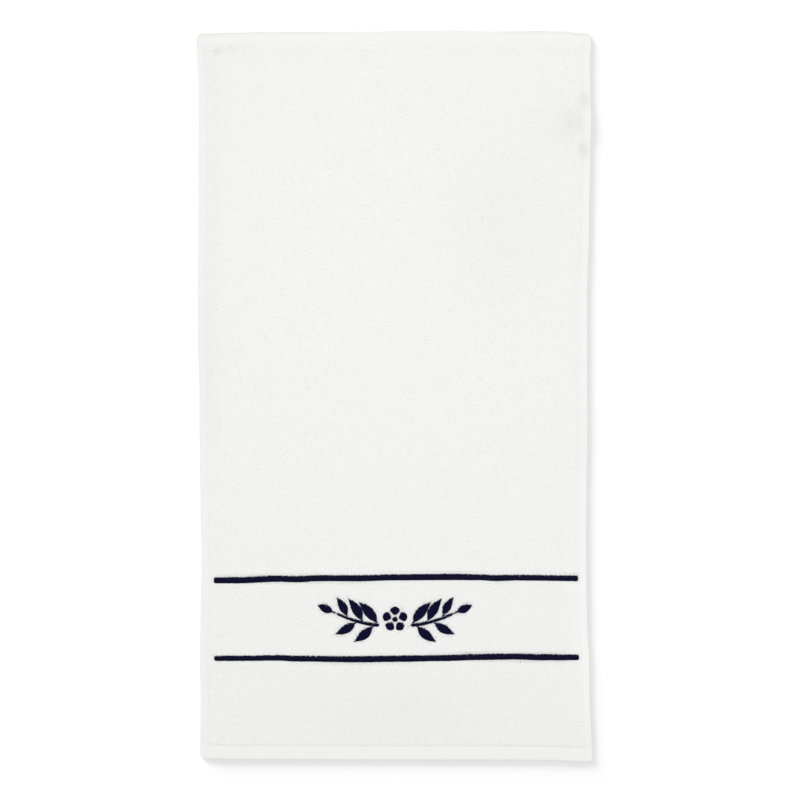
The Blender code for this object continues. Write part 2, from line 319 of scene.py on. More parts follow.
# Shade and light painted into the cloth's colour, as bells
PAINTED_SHADE_BELLS = (
    # across and along the cut cloth, half size each way, depth of painted shade (below 0, painted light)
    (198.5 * MM, 312 * MM, 5 * MM, 8 * MM, 0.6),
    (197.5 * MM, 258 * MM, 5 * MM, 9 * MM, 0.6),
    (187 * MM, 287 * MM, 10 * MM, 12 * MM, 0.28),
    (172 * MM, 284 * MM, 26 * MM, 28 * MM, 0.15),
    (-187 * MM, 230 * MM, 10 * MM, 120 * MM, 0.12),
    (-192 * MM, 338 * MM, 12 * MM, 18 * MM, 0.12),
    (-194 * MM, 42 * MM, 14 * MM, 88 * MM, 0.17),
    (110 * MM, 182 * MM, 62 * MM, 78 * MM, 0.13),
    (0 * MM, -335 * MM, 105 * MM, 34 * MM, 0.15),
    (195 * MM, -235 * MM, 12 * MM, 120 * MM, -0.30),
    (-203 * MM, 40 * MM, 7 * MM, 330 * MM, 0.08),
    (-203 * MM, 374 * MM, 1.5 * MM, 8 * MM, 0.35),
    (-192 * MM, 380.5 * MM, 20 * MM, 2.2 * MM, 0.40),
    (192 * MM, 380.5 * MM, 14 * MM, 1.4 * MM, 0.50),
    (-120 * MM, 381 * MM, 85 * MM, 0.9 * MM, 0.8),
    (141 * MM, 381 * MM, 40 * MM, 0.9 * MM, 0.7),
    (-182 * MM, 362.5 * MM, 4 * MM, 3.5 * MM, 0.4),
    (-168 * MM, 365.5 * MM, 3 * MM, 2 * MM, 0.4),
    (-174 * MM, 363 * MM, 26 * MM, 6 * MM, 0.15),
)
COCKLE_PLACE = 286 * MM
COCKLE_HALF_LENGTH = 27 * MM
COCKLE_REACH = 16 * MM
COCKLE_LIFT = 0.9 * MM


def face_height(x, y):
    """Height of the pile's top away from the hems: the cloth's thickness and the sum of its folds."""
    height = np.full_like(x, BODY_THICKNESS)
    for centre_x, centre_y, heading, half_length, half_width, rise in SOFT_FOLDS:
        turn = np.radians(heading)
        u = (x - centre_x) * np.cos(turn) + (y - centre_y) * np.sin(turn)
        v = (y - centre_y) * np.cos(turn) - (x - centre_x) * np.sin(turn)
        height += rise * np.exp(-((u / half_length) ** 2) - (v / half_width) ** 2)
    return height


def hem_drop(from_edge, hem_width, dip):
    """How much lower than the body the cloth is: thin over the hem, and a bell-shaped dip at its seam."""
    thin = (BODY_THICKNESS - HEM_THICKNESS) * (1 - smoothstep((from_edge - hem_width) / HEM_RAMP))
    return thin + dip * np.exp(-(((from_edge - hem_width) / STITCH_DIP_WIDTH) ** 2))


def tightness(x, y):
    """How hard an end seam pulls: more at the head, plus exp(-((x - x0) / half)^2) at each tight spot."""
    pull = np.where(y > 0, HEAD_PULL, FOOT_PULL)
    for end, place, half_length, extra in TIGHT_SPOTS:
        pull += (np.sign(y) == end) * extra * np.exp(-(((x - place) / half_length) ** 2))
    return pull


def nap_shade(across, along):
    """Share of painted shade, or below 0 of painted light: the sum of bells exp(-u^2 - v^2)."""
    shade = np.zeros_like(across)
    for place_across, place_along, half_across, half_along, depth in PAINTED_SHADE_BELLS:
        u, v = (across - place_across) / half_across, (along - place_along) / half_along
        shade += depth * np.exp(-(u**2) - v**2)
    return shade


def cockle(x, y):
    """How far the cloth has lifted off the surface: a square law inwards times a smoothstep along."""
    inwards = np.clip(1 - (WIDTH / 2 - x) / COCKLE_REACH, 0, 1)
    return COCKLE_LIFT * inwards**2 * smoothstep(1 - np.abs(y - COCKLE_PLACE) / COCKLE_HALF_LENGTH)


print("highest fold:", max(row[-1] for row in SOFT_FOLDS) / MM, "mm")

# %% [markdown]
# ## From arrays to a mesh
#
# Every piece below is a grid of points worked out by a formula. A grid of r by c points has
# (r - 1)(c - 1) squares, and their corners are four slices of one array of point numbers. Filling
# the mesh with `foreach_set` is far faster than adding one face at a time.

# %% Mesh helpers
def grid_faces(index):
    """The squares of a grid of point numbers: corners (i, j), (i, j+1), (i+1, j+1), (i+1, j)."""
    squares = np.stack([index[:-1, :-1], index[:-1, 1:], index[1:, 1:], index[1:, :-1]], axis=-1)
    return squares.reshape(-1, 4)


def add_piece(name, points, faces, finish, slot, stands_for=(), **marks):
    """A smooth-shaded object riding on the part's one body; -1 ends a face of three corners."""
    corners = faces[faces >= 0].astype(np.int32)
    ends = np.cumsum((faces >= 0).sum(axis=1))
    mesh = bpy.data.meshes.new(name)
    mesh.vertices.add(len(points))
    mesh.vertices.foreach_set("co", np.ascontiguousarray(points, np.float32).ravel())
    mesh.loops.add(len(corners))
    mesh.loops.foreach_set("vertex_index", corners)
    mesh.polygons.add(len(faces))
    mesh.polygons.foreach_set("loop_start", np.append(0, ends[:-1]).astype(np.int32))
    mesh.update(calc_edges=True)
    mesh.shade_smooth()
    mesh.materials.append(finish)
    for mark, values in marks.items():
        mesh.attributes.new(mark, "FLOAT", "POINT").data.foreach_set("value", values.astype(np.float32))
    piece = bpy.data.objects.new(name, mesh)
    bpy.context.scene.collection.objects.link(piece)
    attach(piece, "root")
    if stands_for:
        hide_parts(*stands_for)
    return piece


def triangle_count(piece):
    """A face of n corners makes n - 2 triangles."""
    return len(piece.data.loops) - 2 * len(piece.data.polygons)


# %% [markdown]
# ## Shader maths as Python sums
#
# A material is a graph of nodes, but its maths reads best as a formula. `Wire` wraps one socket
# and adds a Math node for each +, -, * and so on. `Finish` holds one material and makes any other
# node from its type, its settings and what goes into its sockets.

# %% Shader helpers
class Wire:
    """One output socket that can stand in a sum: wire * 2, 1 - wire, wire + other."""

    def __init__(self, finish, socket):
        self.finish = finish
        self.socket = socket

    def maths(self, operation, first, second):
        values = {0: first, 1: second}
        return self.finish.node("ShaderNodeMath", {"operation": operation}, values)

    def __add__(self, other):
        return self.maths("ADD", self, other)

    def __radd__(self, other):
        return self.maths("ADD", other, self)

    def __sub__(self, other):
        return self.maths("SUBTRACT", self, other)

    def __rsub__(self, other):
        return self.maths("SUBTRACT", other, self)

    def __mul__(self, other):
        return self.maths("MULTIPLY", self, other)

    def __rmul__(self, other):
        return self.maths("MULTIPLY", other, self)


class Finish:
    """One material: its Principled surface, and a way to add nodes and feed sockets."""

    def __init__(self, name, roughness, **constants):
        self.material = bpy.data.materials.new(name)
        self.material.use_nodes = True
        self.tree = self.material.node_tree
        self.surface = self.tree.nodes["Principled BSDF"]
        self.surface.inputs["Roughness"].default_value = roughness
        for socket_name, value in constants.items():
            self.surface.inputs[socket_name.replace("_", " ")].default_value = value

    def feed(self, socket, value):
        """Links a wire to a socket, or sets the socket to a plain value."""
        if isinstance(value, Wire):
            self.tree.links.new(value.socket, socket)
        else:
            socket.default_value = value

    def node(self, kind, settings, values, output=0):
        """Adds a node of this kind, makes its settings, then feeds its sockets."""
        made = self.tree.nodes.new(kind)
        for name, value in settings.items():
            setattr(made, name, value)
        for name, value in values.items():
            self.feed(made.inputs[name], value)
        return Wire(self, made.outputs[output])

    def place(self, scale):
        """Object coordinates times a scale, so that one unit is one repeat of a pattern."""
        spot = self.node("ShaderNodeTexCoord", {}, {}, "Object")
        return self.node("ShaderNodeMapping", {}, {"Vector": spot, "Scale": scale})

    def mark(self, name):
        """A point attribute of the mesh, as a number."""
        return self.node("ShaderNodeAttribute", {"attribute_name": name}, {}, "Fac")

    def noise(self, size, detail=2.0, stretch=(1, 1, 1)):
        """Soft noise from 0 to 1 whose lumps are about `size` across."""
        where = self.place([s / size for s in stretch])
        return self.node("ShaderNodeTexNoise", {}, {"Vector": where, "Scale": 1.0, "Detail": detail})

    def mixed(self, share, first, second):
        """A colour between two, by a share that the node holds from 0 to 1."""
        settings = {"data_type": "RGBA"}
        return self.node("ShaderNodeMix", settings, {0: share, 6: first, 7: second}, 2)

    def bump(self, height, distance):
        """A surface direction from a height: `distance` is how deep a height of 1 is, in metres."""
        values = {"Height": height, "Distance": distance, "Strength": 1.0}
        return self.node("ShaderNodeBump", {}, values)

    def wear(self, **sockets):
        """Feeds the surface's own sockets."""
        for socket_name, value in sockets.items():
            self.feed(self.surface.inputs[socket_name.replace("_", " ")], value)
        return self.material


# %% [markdown]
# ## White cotton terry
#
# Terry is woven with a slack warp that stands up in loops. The ground between them is rough, so a
# cell texture at the loops' real pitch makes round bumps, with shade painted into the colour in the
# gaps between. The hems are the same cotton woven flat, so there the bumps give way to fine ribs,
# with shade painted between them. A point attribute on the mesh says how much of each there is, and
# another holds the share of painted shade and light from the cell on folds. The loops themselves
# get a finish of their own.

# %% White cotton terry
LOOP_PITCH = (1.7 * MM, 2.1 * MM, 1.7 * MM)
RIB_PITCH = 0.8 * MM
# Cotton in painted shade and in full light: finishes mix between them by painted shade and random tone.
SHADED_COTTON = (0.800, 0.802, 0.786, 1)
FULL_COTTON = (0.865, 0.867, 0.850, 1)
# The colours that painted shade and painted light turn the cotton towards.
PAINTED_SHADE_COTTON = (0.680, 0.680, 0.668, 1)
PAINTED_LIGHT_COTTON = (0.930, 0.932, 0.914, 1)
COTTON = {"roughness": 0.95, "Specular_IOR_Level": 0.15, "Sheen_Weight": 0.15}


def with_painted_shade_and_light(finish, colour):
    """The colour turned grey by painted shade, or white by painted light where the share is below zero."""
    nap = finish.mark("nap")
    colour = finish.mixed(nap, colour, PAINTED_SHADE_COTTON)
    return finish.mixed(nap * -1, colour, PAINTED_LIGHT_COTTON)


def cotton_terry():
    """Colour: white, with shade painted between loops and ribs. Height: one bump a loop, or the weave's
    ribs on the hems.
    """
    cotton = Finish("white cotton terry", **COTTON)
    flat = cotton.mark("flat_weave")
    loops_at = cotton.place([1 / pitch for pitch in LOOP_PITCH])
    cells = cotton.node(
        "ShaderNodeTexVoronoi",
        {"feature": "SMOOTH_F1"},
        {"Vector": loops_at, "Scale": 1.0, "Smoothness": 0.4, "Randomness": 0.8},
        "Distance",
    )
    curls = cotton.noise(0.7 * MM, detail=1.0)
    pile = 1 - cells + curls * 0.35
    ribs_at = cotton.place([1 / RIB_PITCH] * 3)
    ribs = cotton.node(
        "ShaderNodeTexWave",
        {"bands_direction": "Y"},
        {"Vector": ribs_at, "Scale": np.pi / 10, "Distortion": 2.5, "Detail": 1.0},
        "Fac",
    )
    weave = cotton.noise(RIB_PITCH, detail=1.0, stretch=(0.5, 1, 1)) * 0.6 + ribs * 0.4
    height = pile * (1 - flat) + weave * flat * 0.5
    clouds = cotton.noise(38 * MM, detail=3.0)
    # painted shade in the gaps between loops, and on the hems between ribs, with random cloudy tone
    ground = (1 - cells) * 0.5 + clouds * 0.2
    hem = 0.22 + ribs * 0.15 + clouds * 0.15
    colour = cotton.mixed(ground * (1 - flat) + hem * flat, SHADED_COTTON, FULL_COTTON)
    return cotton.wear(Base_Color=with_painted_shade_and_light(cotton, colour), Normal=cotton.bump(height, 0.25 * MM))


def yarn_of_loops():
    """Colour: white at a loop's crown, with shade painted at its foot. Height: the fine twist of the yarn.
    """
    yarn = Finish("white loop yarn", **COTTON)
    crown = yarn.mark("crown")
    dye = yarn.noise(2.6 * MM, detail=1.0)
    twist = yarn.noise(0.35 * MM, detail=1.0)
    # shade painted at each loop's foot by the crown share, with random dyed tone
    colour = yarn.mixed(0.50 + crown * 0.20 + dye * 0.08, SHADED_COTTON, FULL_COTTON)
    return yarn.wear(Base_Color=with_painted_shade_and_light(yarn, colour), Normal=yarn.bump(twist, 0.14 * MM))


white_terry = cotton_terry()
loop_yarn = yarn_of_loops()
print("finishes:", white_terry.name, "and", loop_yarn.name)

# %% [markdown]
# ## Stations across and along
#
# The cloth is one closed sheet: a top grid and an underside grid that share their rim. The grid is
# even across the middle and close at the hems, where the fold turns over within a millimetre or
# two. Cells of about three millimetres are enough, because the pile's own loops come later.

# %% Stations
SIDE_STATIONS = [d * MM for d in (0, 0.12, 0.4, 0.8, 2.6, 4.6, 6.4, 7.5, 8.6, 10.2)]
END_STATIONS = [d * MM for d in (0, 0.12, 0.4, 0.8, 3.2, 6.2, 9.2, 11.6, 13, 14, 15, 16.6)]
CELLS_ACROSS = 118
CELLS_ALONG = 224


def stations(half_size, near_edge, cells):
    """Distances from the middle: the hem's own, mirrored at each end, with even cells between."""
    near = np.array(near_edge)
    middle = np.linspace(near[-1] - half_size, half_size - near[-1], cells + 1)[1:-1]
    return np.concatenate([near - half_size, middle, half_size - near[::-1]])


across, along = np.meshgrid(
    stations(WIDTH / 2, SIDE_STATIONS, CELLS_ACROSS),
    stations(LENGTH / 2, END_STATIONS, CELLS_ALONG),
)
print("grid of", across.shape, "points")

# %% [markdown]
# ## The lie of the pile
#
# A washed pile is never level. Loops lean together in tufts a few millimetres across, and the
# whole face swells and sinks by a tenth of a millimetre. `lumps` is value noise: random heights on
# a lattice, with smoothstep between them, so it is smooth and the same on every run.

# %% Lumps in the pile
LATTICE = 256
LUMP_SIZES = (
    # height, size across and along: tufts, swells and single loops
    (0.07 * MM, 5.5 * MM, 7 * MM),
    (0.10 * MM, 42 * MM, 58 * MM),
    (0.05 * MM, 2.6 * MM, 2.6 * MM),
)


def lumps(x, y, size_x, size_y, seed):
    """Smooth heights from -1 to 1: random lattice values a given size apart, blended by smoothstep."""
    table = np.random.default_rng(seed).uniform(-1, 1, (LATTICE, LATTICE))
    column, row = x / size_x, y / size_y
    left, low = np.floor(column).astype(int), np.floor(row).astype(int)
    share_x, share_y = smoothstep(column - left), smoothstep(row - low)
    corner = [[table[(low + i) % LATTICE, (left + j) % LATTICE] for j in (0, 1)] for i in (0, 1)]
    lower = corner[0][0] * (1 - share_x) + corner[0][1] * share_x
    upper = corner[1][0] * (1 - share_x) + corner[1][1] * share_x
    return lower * (1 - share_y) + upper * share_y


def pile_relief(x, y, seed):
    """The sum of three sizes of lumps, each from a seed of its own, the finest about one grid cell."""
    sizes = enumerate(LUMP_SIZES)
    return sum(height * lumps(x, y, size_x, size_y, seed + i) for i, (height, size_x, size_y) in sizes)


# %% [markdown]
# ## Where stitches lie
#
# The bars and the sprig are satin stitch: threads laid side by side over a line, as wide as the
# line is broad there. So each patch is a centre line with a half width at every point. Each one
# lies on the solid that it stands for, and the cloth is pressed down a little wherever one lies.

# %% Bars
UPPER_BAR = (
    # x, y of the centre line, width
    (-189.3 * MM, -193.1 * MM, 6.35 * MM),
    (-165 * MM, -193.0 * MM, 6.55 * MM),
    (-122 * MM, -191.4 * MM, 6.35 * MM),
    (-101 * MM, -191.9 * MM, 6.45 * MM),
    (-78 * MM, -190.8 * MM, 6.35 * MM),
    (-38 * MM, -190.9 * MM, 6.45 * MM),
    (0 * MM, -190.0 * MM, 6.35 * MM),
    (65 * MM, -189.6 * MM, 6.65 * MM),
    (88 * MM, -189.9 * MM, 6.25 * MM),
    (108 * MM, -190.8 * MM, 6.15 * MM),
    (128 * MM, -190.3 * MM, 5.95 * MM),
    (192.3 * MM, -191.0 * MM, 5.95 * MM),
)
LOWER_BAR = (
    (-188.8 * MM, -274.9 * MM, 5.55 * MM),
    (-150 * MM, -274.8 * MM, 5.45 * MM),
    (-124 * MM, -274.3 * MM, 5.95 * MM),
    (-101 * MM, -275.2 * MM, 6.15 * MM),
    (-38 * MM, -275.8 * MM, 6.45 * MM),
    (0 * MM, -275.3 * MM, 6.65 * MM),
    (50 * MM, -274.6 * MM, 6.45 * MM),
    (90 * MM, -273.4 * MM, 6.35 * MM),
    (128 * MM, -272.9 * MM, 6.15 * MM),
    (150 * MM, -273.7 * MM, 6.35 * MM),
    (193.2 * MM, -273.8 * MM, 6.05 * MM),
)
OVERHANG = 0.18 * MM
NARROWEST = 0.35 * MM


def bar_line(rows, points=400):
    """Centre line and half width; at each end the width falls as (1 - t^4)^(1/4), nearly square."""
    rows = np.array(rows)
    start, end = rows[0, 0], rows[-1, 0]
    x = start + (end - start) * (1 - np.cos(np.linspace(0, np.pi, points))) / 2
    half_width = eased(rows[:, [0, 2]], x) / 2 + OVERHANG
    from_end = np.minimum(x - start, end - x)
    half_width = half_width * (1 - np.clip(1 - from_end / half_width, 0, 1) ** 4) ** 0.25
    return np.stack([x, eased(rows[:, :2], x)], axis=1), np.maximum(half_width, NARROWEST)


# %% Sprig
SPRIG = np.array([0.5 * MM, -233 * MM])
PETALS = 5
PETAL_START = 4.2 * MM
PETAL_END = 13.4 * MM
PETAL_WIDTH = 10.2 * MM
PETAL_FULLEST = 1.3
PETAL_ROUNDNESS = 0.7
FLOWER_Y = -1 * MM
FLOWER_EYE = 2.8 * MM
STEM_START = 16.5 * MM
STEM_END = 61 * MM
STEM_LOW = -7 * MM
STEM_RISE = 12 * MM
STEM_CURVE = 1.7
STEM_WIDTH = 4.0 * MM
STEM_TAPER = 0.3
LEAF_GAP = 0.9 * MM
STALK_WIDTH = 1.7 * MM
STALK_OVERLAP = 1.0 * MM
LEAF_BEND = 0.16
LEAF_FULLEST = 0.85
LEAVES = (
    # place along the stem, turn from its heading, length, width
    (0.02, 56, 28 * MM, 10.4 * MM),
    (0.12, -54, 24 * MM, 9.8 * MM),
    (0.38, 54, 26 * MM, 10.0 * MM),
    (0.52, -54, 23 * MM, 9.4 * MM),
    (0.74, 50, 21 * MM, 8.8 * MM),
    (1.00, 0, 17 * MM, 8.6 * MM),
)


def stem_point(share):
    """The right-hand stem: x grows evenly, and y rises as a power of the share."""
    x = STEM_START + (STEM_END - STEM_START) * share
    return np.stack([x, STEM_LOW + STEM_RISE * share**STEM_CURVE], axis=-1)


def stem_line(side):
    """A stem's centre line and half width, which thins steadily to the tip."""
    share = np.linspace(0, 1, 60)
    half_width = STEM_WIDTH / 2 * (1 - STEM_TAPER * share)
    ends = np.sqrt(np.clip(np.minimum(share, 1 - share) * 25, 0.08, 1))
    return stem_point(share) * (side, 1) + SPRIG, half_width * ends


def leaf_line(side, share, turn, length, width):
    """A leaf and its short stalk: the midrib bends as s^2, and the half width is sin(pi * s^0.85)."""
    base = stem_point(np.array(share))
    behind = stem_point(np.array(share * 0.9))
    heading = np.arctan2(*(base - behind)[::-1]) + np.radians(turn)
    forward = np.array([np.cos(heading), np.sin(heading)])
    inwards = np.sign(turn) * np.array([forward[1], -forward[0]])
    start = STEM_WIDTH / 2 / max(abs(np.sin(np.radians(turn))), 0.5) + LEAF_GAP
    s = np.linspace((STALK_OVERLAP - start) / length, 1, 70)
    bend = LEAF_BEND * length * s * abs(s)
    line = base + forward * (start + length * s)[:, None] + inwards * bend[:, None]
    blade = width / 2 * np.sin(np.pi * s.clip(0) ** LEAF_FULLEST)
    half_width = np.maximum(blade, np.where(s < 0.1, STALK_WIDTH / 2, NARROWEST))
    return line * (side, 1) + SPRIG, half_width


def petal_line(turn):
    """A petal from the eye outwards; half width is sin(pi * s^1.3) to the power 0.7."""
    s = np.linspace(0, 1, 40)
    reach = PETAL_START + (PETAL_END - PETAL_START) * s
    line = reach[:, None] * (np.cos(turn), np.sin(turn)) + SPRIG + (0, FLOWER_Y)
    roundness = np.sin(np.pi * s**PETAL_FULLEST).clip(0) ** PETAL_ROUNDNESS
    return line, np.maximum(PETAL_WIDTH / 2 * roundness, NARROWEST)


def eye_line():
    """The flower's eye: a circle, its half width sqrt(r^2 - x^2)."""
    x = FLOWER_EYE * np.linspace(-1, 1, 24)
    line = np.stack([x, np.zeros_like(x)], axis=1) + SPRIG + (0, FLOWER_Y)
    return line, np.maximum(np.sqrt((FLOWER_EYE**2 - x**2).clip(0)), NARROWEST)


patches = {
    "upper_bar": bar_line(UPPER_BAR),
    "lower_bar": bar_line(LOWER_BAR),
    "flower_eye": eye_line(),
}
for number in range(PETALS):
    patches[f"petal_{number + 1}"] = petal_line(np.pi / 2 + number * 2 * np.pi / PETALS)
for side, word in ((-1, "left"), (1, "right")):
    patches[f"stem_{word}"] = stem_line(side)
    for number, leaf in enumerate(LEAVES):
        patches[f"leaf_{word}_{number + 1}"] = leaf_line(side, *leaf)
print("stitched patches:", len(patches))

# %% [markdown]
# ## The cloth sheet
#
# Now the sheet itself. Its thickness at a point is the face's height, less what the hems take
# away. Within a fold's radius of the edge, top and underside close to meet on a quarter circle,
# and the sheet is one closed skin.

# %% The cloth sheet
PRESS_DEPTH = 0.55 * MM
PRESS_REACH = 2.2 * MM
LEAST_THICKNESS = 1.2 * MM
HEM_CALM = 0.7
TOP_SEED = 3
UNDER_SEED = 11


def pressed(x, y):
    """How far stitches pull the pile down: full under a patch, gone by smoothstep just outside it."""
    spots = np.concatenate([line for line, _ in patches.values()])
    radii = np.concatenate([half_width for _, half_width in patches.values()])
    low, high = spots.min(axis=0) - 3 * PRESS_REACH, spots.max(axis=0) + 3 * PRESS_REACH
    near = (x > low[0]) & (x < high[0]) & (y > low[1]) & (y < high[1])
    nearest = np.full(near.sum(), np.inf)
    for spot, radius in zip(spots, radii):
        np.minimum(nearest, np.hypot(x[near] - spot[0], y[near] - spot[1]) - radius, out=nearest)
    depth = np.zeros_like(x)
    depth[near] = PRESS_DEPTH * smoothstep(1 - nearest / PRESS_REACH)
    return depth


def cloth_surface(across, along):
    """Top and underside at points of the cut cloth, and each one's share of flat weave."""
    from_side = WIDTH / 2 - np.abs(across)
    from_end = LENGTH / 2 - np.abs(along)
    x, y = laid(across, along)
    drop = hem_drop(from_side, SIDE_HEM, SIDE_DIP) + hem_drop(from_end, END_HEM, END_DIP * tightness(x, y))
    flat_weave = 1 - smoothstep((from_side - SIDE_HEM) / MM) * smoothstep((from_end - END_HEM) / MM)
    relief = pile_relief(x, y, TOP_SEED) * (1 - HEM_CALM * flat_weave)
    thickness = np.maximum(face_height(x, y) - drop, LEAST_THICKNESS) - pressed(x, y) + relief
    inside = np.clip(np.minimum(from_side, from_end) / FOLD_RADIUS, 0, 1)
    fold = np.sqrt(1 - (1 - inside) ** 2)
    lift = cockle(x, y)
    hollows = fold * np.abs(pile_relief(x, y, UNDER_SEED))
    top = np.stack([x, y, lift + thickness * (1 + fold) / 2], axis=-1)
    underside = np.stack([x, y, lift + hollows + thickness * (1 - fold) / 2], axis=-1)
    return top, underside, flat_weave


top, underside, flat_weave = cloth_surface(across, along)
rim = np.ones(across.shape, bool)
rim[1:-1, 1:-1] = False
top_index = np.arange(rim.size).reshape(rim.shape)
under_index = top_index.copy()
under_index[~rim] = rim.size + np.arange((~rim).sum())
towel = add_piece(
    "terry_cloth",
    np.concatenate([top.reshape(-1, 3), underside[~rim]]),
    np.concatenate([grid_faces(top_index), grid_faces(under_index)[:, ::-1]]),
    white_terry,
    "white_terry",
    ["towel"],
    flat_weave=np.concatenate([flat_weave.ravel(), flat_weave[~rim]]),
    # the share of painted shade and painted light, on the top face only
    nap=np.concatenate([nap_shade(across, along).ravel(), np.zeros((~rim).sum())]),
)
print("cloth:", triangle_count(towel), "triangles")

# %% [markdown]
# ## Loops of the pile
#
# Seen close, terry is a field of small curled loops, packed so that they touch. Fully modelled
# yarn would be far too much for so many. Only the top of each loop shows, so six points are
# enough: a long diamond for the foot, sunk in the cloth, and a short crest that bends to one side.
# Smooth shading rounds it off. A point attribute, 0 at the foot and 1 at the crest, tells the
# finish where to paint shade into the colour. The loops stop at the hems and under the stitches.

# %% Pile loops
TUFT_PITCH = 1.95 * MM
TUFT_HALF_LENGTH = 2.10 * MM
TUFT_HALF_WIDTH = 1.55 * MM
TUFT_RISE = 0.23 * MM
TUFT_SINK = 0.20 * MM
TUFT_CURL = 0.25 * MM
TUFT_SCATTER = 0.18
TUFT_TURN = 1.0
TUFT_SIZES = (0.8, 1.15)
TUFT_RISES = (0.7, 1.15)
TUFT_SHAPE = np.array([(1, 0), (0, 1), (-1, 0), (0, -1), (0.45, 0), (-0.45, 0)])
TUFT_CROWN = np.array([0, 0, 0, 0, 1, 1])
TUFT_FACES = np.array([
    (0, 1, 4, -1),
    (1, 5, 4, -1),
    (1, 2, 5, -1),
    (2, 3, 5, -1),
    (3, 4, 5, -1),
    (3, 0, 4, -1),
    (0, 3, 2, 1),
])
PILE_STRIPS = 4
PILE_MARGIN = 1.9 * MM
PRESSED_FLAT = 0.30 * MM


def tufts(low, high, rng):
    """Rows of loops between two lengths of cloth: shape times size, turned, crests moved by a curl."""
    reach = WIDTH / 2 - SIDE_HEM - PILE_MARGIN
    spots = np.meshgrid(np.arange(-reach, reach, TUFT_PITCH), np.arange(low, high, TUFT_PITCH))
    over, up = (grid.ravel() + rng.normal(0, TUFT_SCATTER, grid.size) * TUFT_PITCH for grid in spots)
    kept = pressed(*laid(over, up)) < PRESSED_FLAT
    over, up = over[kept, None], up[kept, None]
    # each loop takes the share of painted shade and light at its centre
    nap = nap_shade(over, up) * np.ones(len(TUFT_SHAPE))
    size = rng.uniform(*TUFT_SIZES, over.shape)
    turn = rng.normal(np.pi / 2, TUFT_TURN, over.shape)
    curl = rng.normal(0, TUFT_CURL, over.shape) * TUFT_CROWN
    long = TUFT_SHAPE[:, 0] * TUFT_HALF_LENGTH * size
    short = TUFT_SHAPE[:, 1] * TUFT_HALF_WIDTH * size + curl
    over = over + long * np.cos(turn) - short * np.sin(turn)
    up = up + long * np.sin(turn) + short * np.cos(turn)
    points = cloth_surface(over, up)[0]
    height = points[..., 2]
    crest = np.maximum(height, height[:, :4].mean(axis=1, keepdims=True))
    crest = crest + TUFT_RISE * rng.uniform(*TUFT_RISES, (len(over), 1))
    points[..., 2] = np.where(TUFT_CROWN > 0, crest, height - TUFT_SINK)
    step = np.where(TUFT_FACES < 0, 0, len(TUFT_SHAPE))
    faces = TUFT_FACES + step * np.arange(len(over))[:, None, None]
    # crown: 0 at the foot, where the finish paints shade, and 1 at the crest
    marks = {"crown": np.tile(TUFT_CROWN, len(over)), "nap": nap.ravel()}
    return points.reshape(-1, 3), faces.reshape(-1, 4), marks


pile_rng = np.random.default_rng(21)
pile_reach = LENGTH / 2 - END_HEM - PILE_MARGIN
pile_ends = np.linspace(-pile_reach, pile_reach, PILE_STRIPS + 1)
for number, (low, high) in enumerate(zip(pile_ends[:-1], pile_ends[1:]), 1):
    points, faces, marks = tufts(low, high, pile_rng)
    strip = add_piece(f"pile_loops_{number}", points, faces, loop_yarn, "white_terry", **marks)
    print("pile strip", number, triangle_count(strip), "triangles")

# %% [markdown]
# ## Navy and white thread
#
# Embroidery thread has a soft sheen along each band, because its fibres lie side by side. Here the
# sheen is a painted highlight: the colour is lightest along each crown, with painted shade nearly
# black in the gaps, and each thread takes a random share of the highlight. A point attribute carries
# both. The sewing thread in the hems is matte white cotton, with shade painted below its crown.

# %% Thread finishes
# navy in painted shade and under a painted highlight; the thread's own navy lies between
NAVY_PAINTED_SHADE = (0.0006, 0.0006, 0.0080, 1)
NAVY_PAINTED_HIGHLIGHT = (0.0068, 0.0068, 0.0520, 1)


def embroidery_thread():
    """Colour: navy, with a highlight painted on each crown. Height: the fine twist of each thread's plies.
    """
    thread = Finish("navy embroidery thread", 0.5, Specular_IOR_Level=0.05)
    crown = thread.mark("crown")
    dye = thread.noise(2.4 * MM, detail=2.0)
    colour = thread.mixed(crown * 0.85 + dye * 0.15, NAVY_PAINTED_SHADE, NAVY_PAINTED_HIGHLIGHT)
    ply = thread.noise(0.35 * MM, detail=1.0)
    return thread.wear(Base_Color=colour, Normal=thread.bump(ply, 0.05 * MM))


def sewing_thread():
    """Colour: white, with shade painted below its crown, and a faint change from stitch to stitch."""
    thread = Finish("white sewing thread", 0.8, Specular_IOR_Level=0.2)
    crown = thread.mark("crown")
    dye = thread.noise(3 * MM, detail=1.0)
    return thread.wear(Base_Color=thread.mixed(crown * 0.7 + dye * 0.3, SHADED_COTTON, FULL_COTTON))


navy_thread = embroidery_thread()
white_thread = sewing_thread()

# %% [markdown]
# ## Satin stitch, one thread at a time
#
# A satin stitch goes straight across the patch and down through the cloth at both edges. So each
# thread needs only its two ends: it runs straight between them in plan, and its height follows a
# half ellipse. Its section is a diamond, which smooth shading rounds off. All threads of a patch
# are worked out as one array of (thread, station, corner).

# %% Threads
CLEARANCE = 0.3 * MM
STITCH_HEIGHT = 0.9 * MM
THREAD_PITCH = 0.45 * MM
THREAD_RADIUS = 0.28 * MM
THREAD_STATIONS = 7
SINK = 0.8 * MM
# share of painted light at a tube's four corners: side, top, side, underneath
CORNER_PAINTED_LIGHT = (0.35, 1, 0.35, 0)


def unit(vectors):
    """Vectors of length 1 in the same directions."""
    return vectors / np.maximum(np.linalg.norm(vectors, axis=-1, keepdims=True), 1e-12)


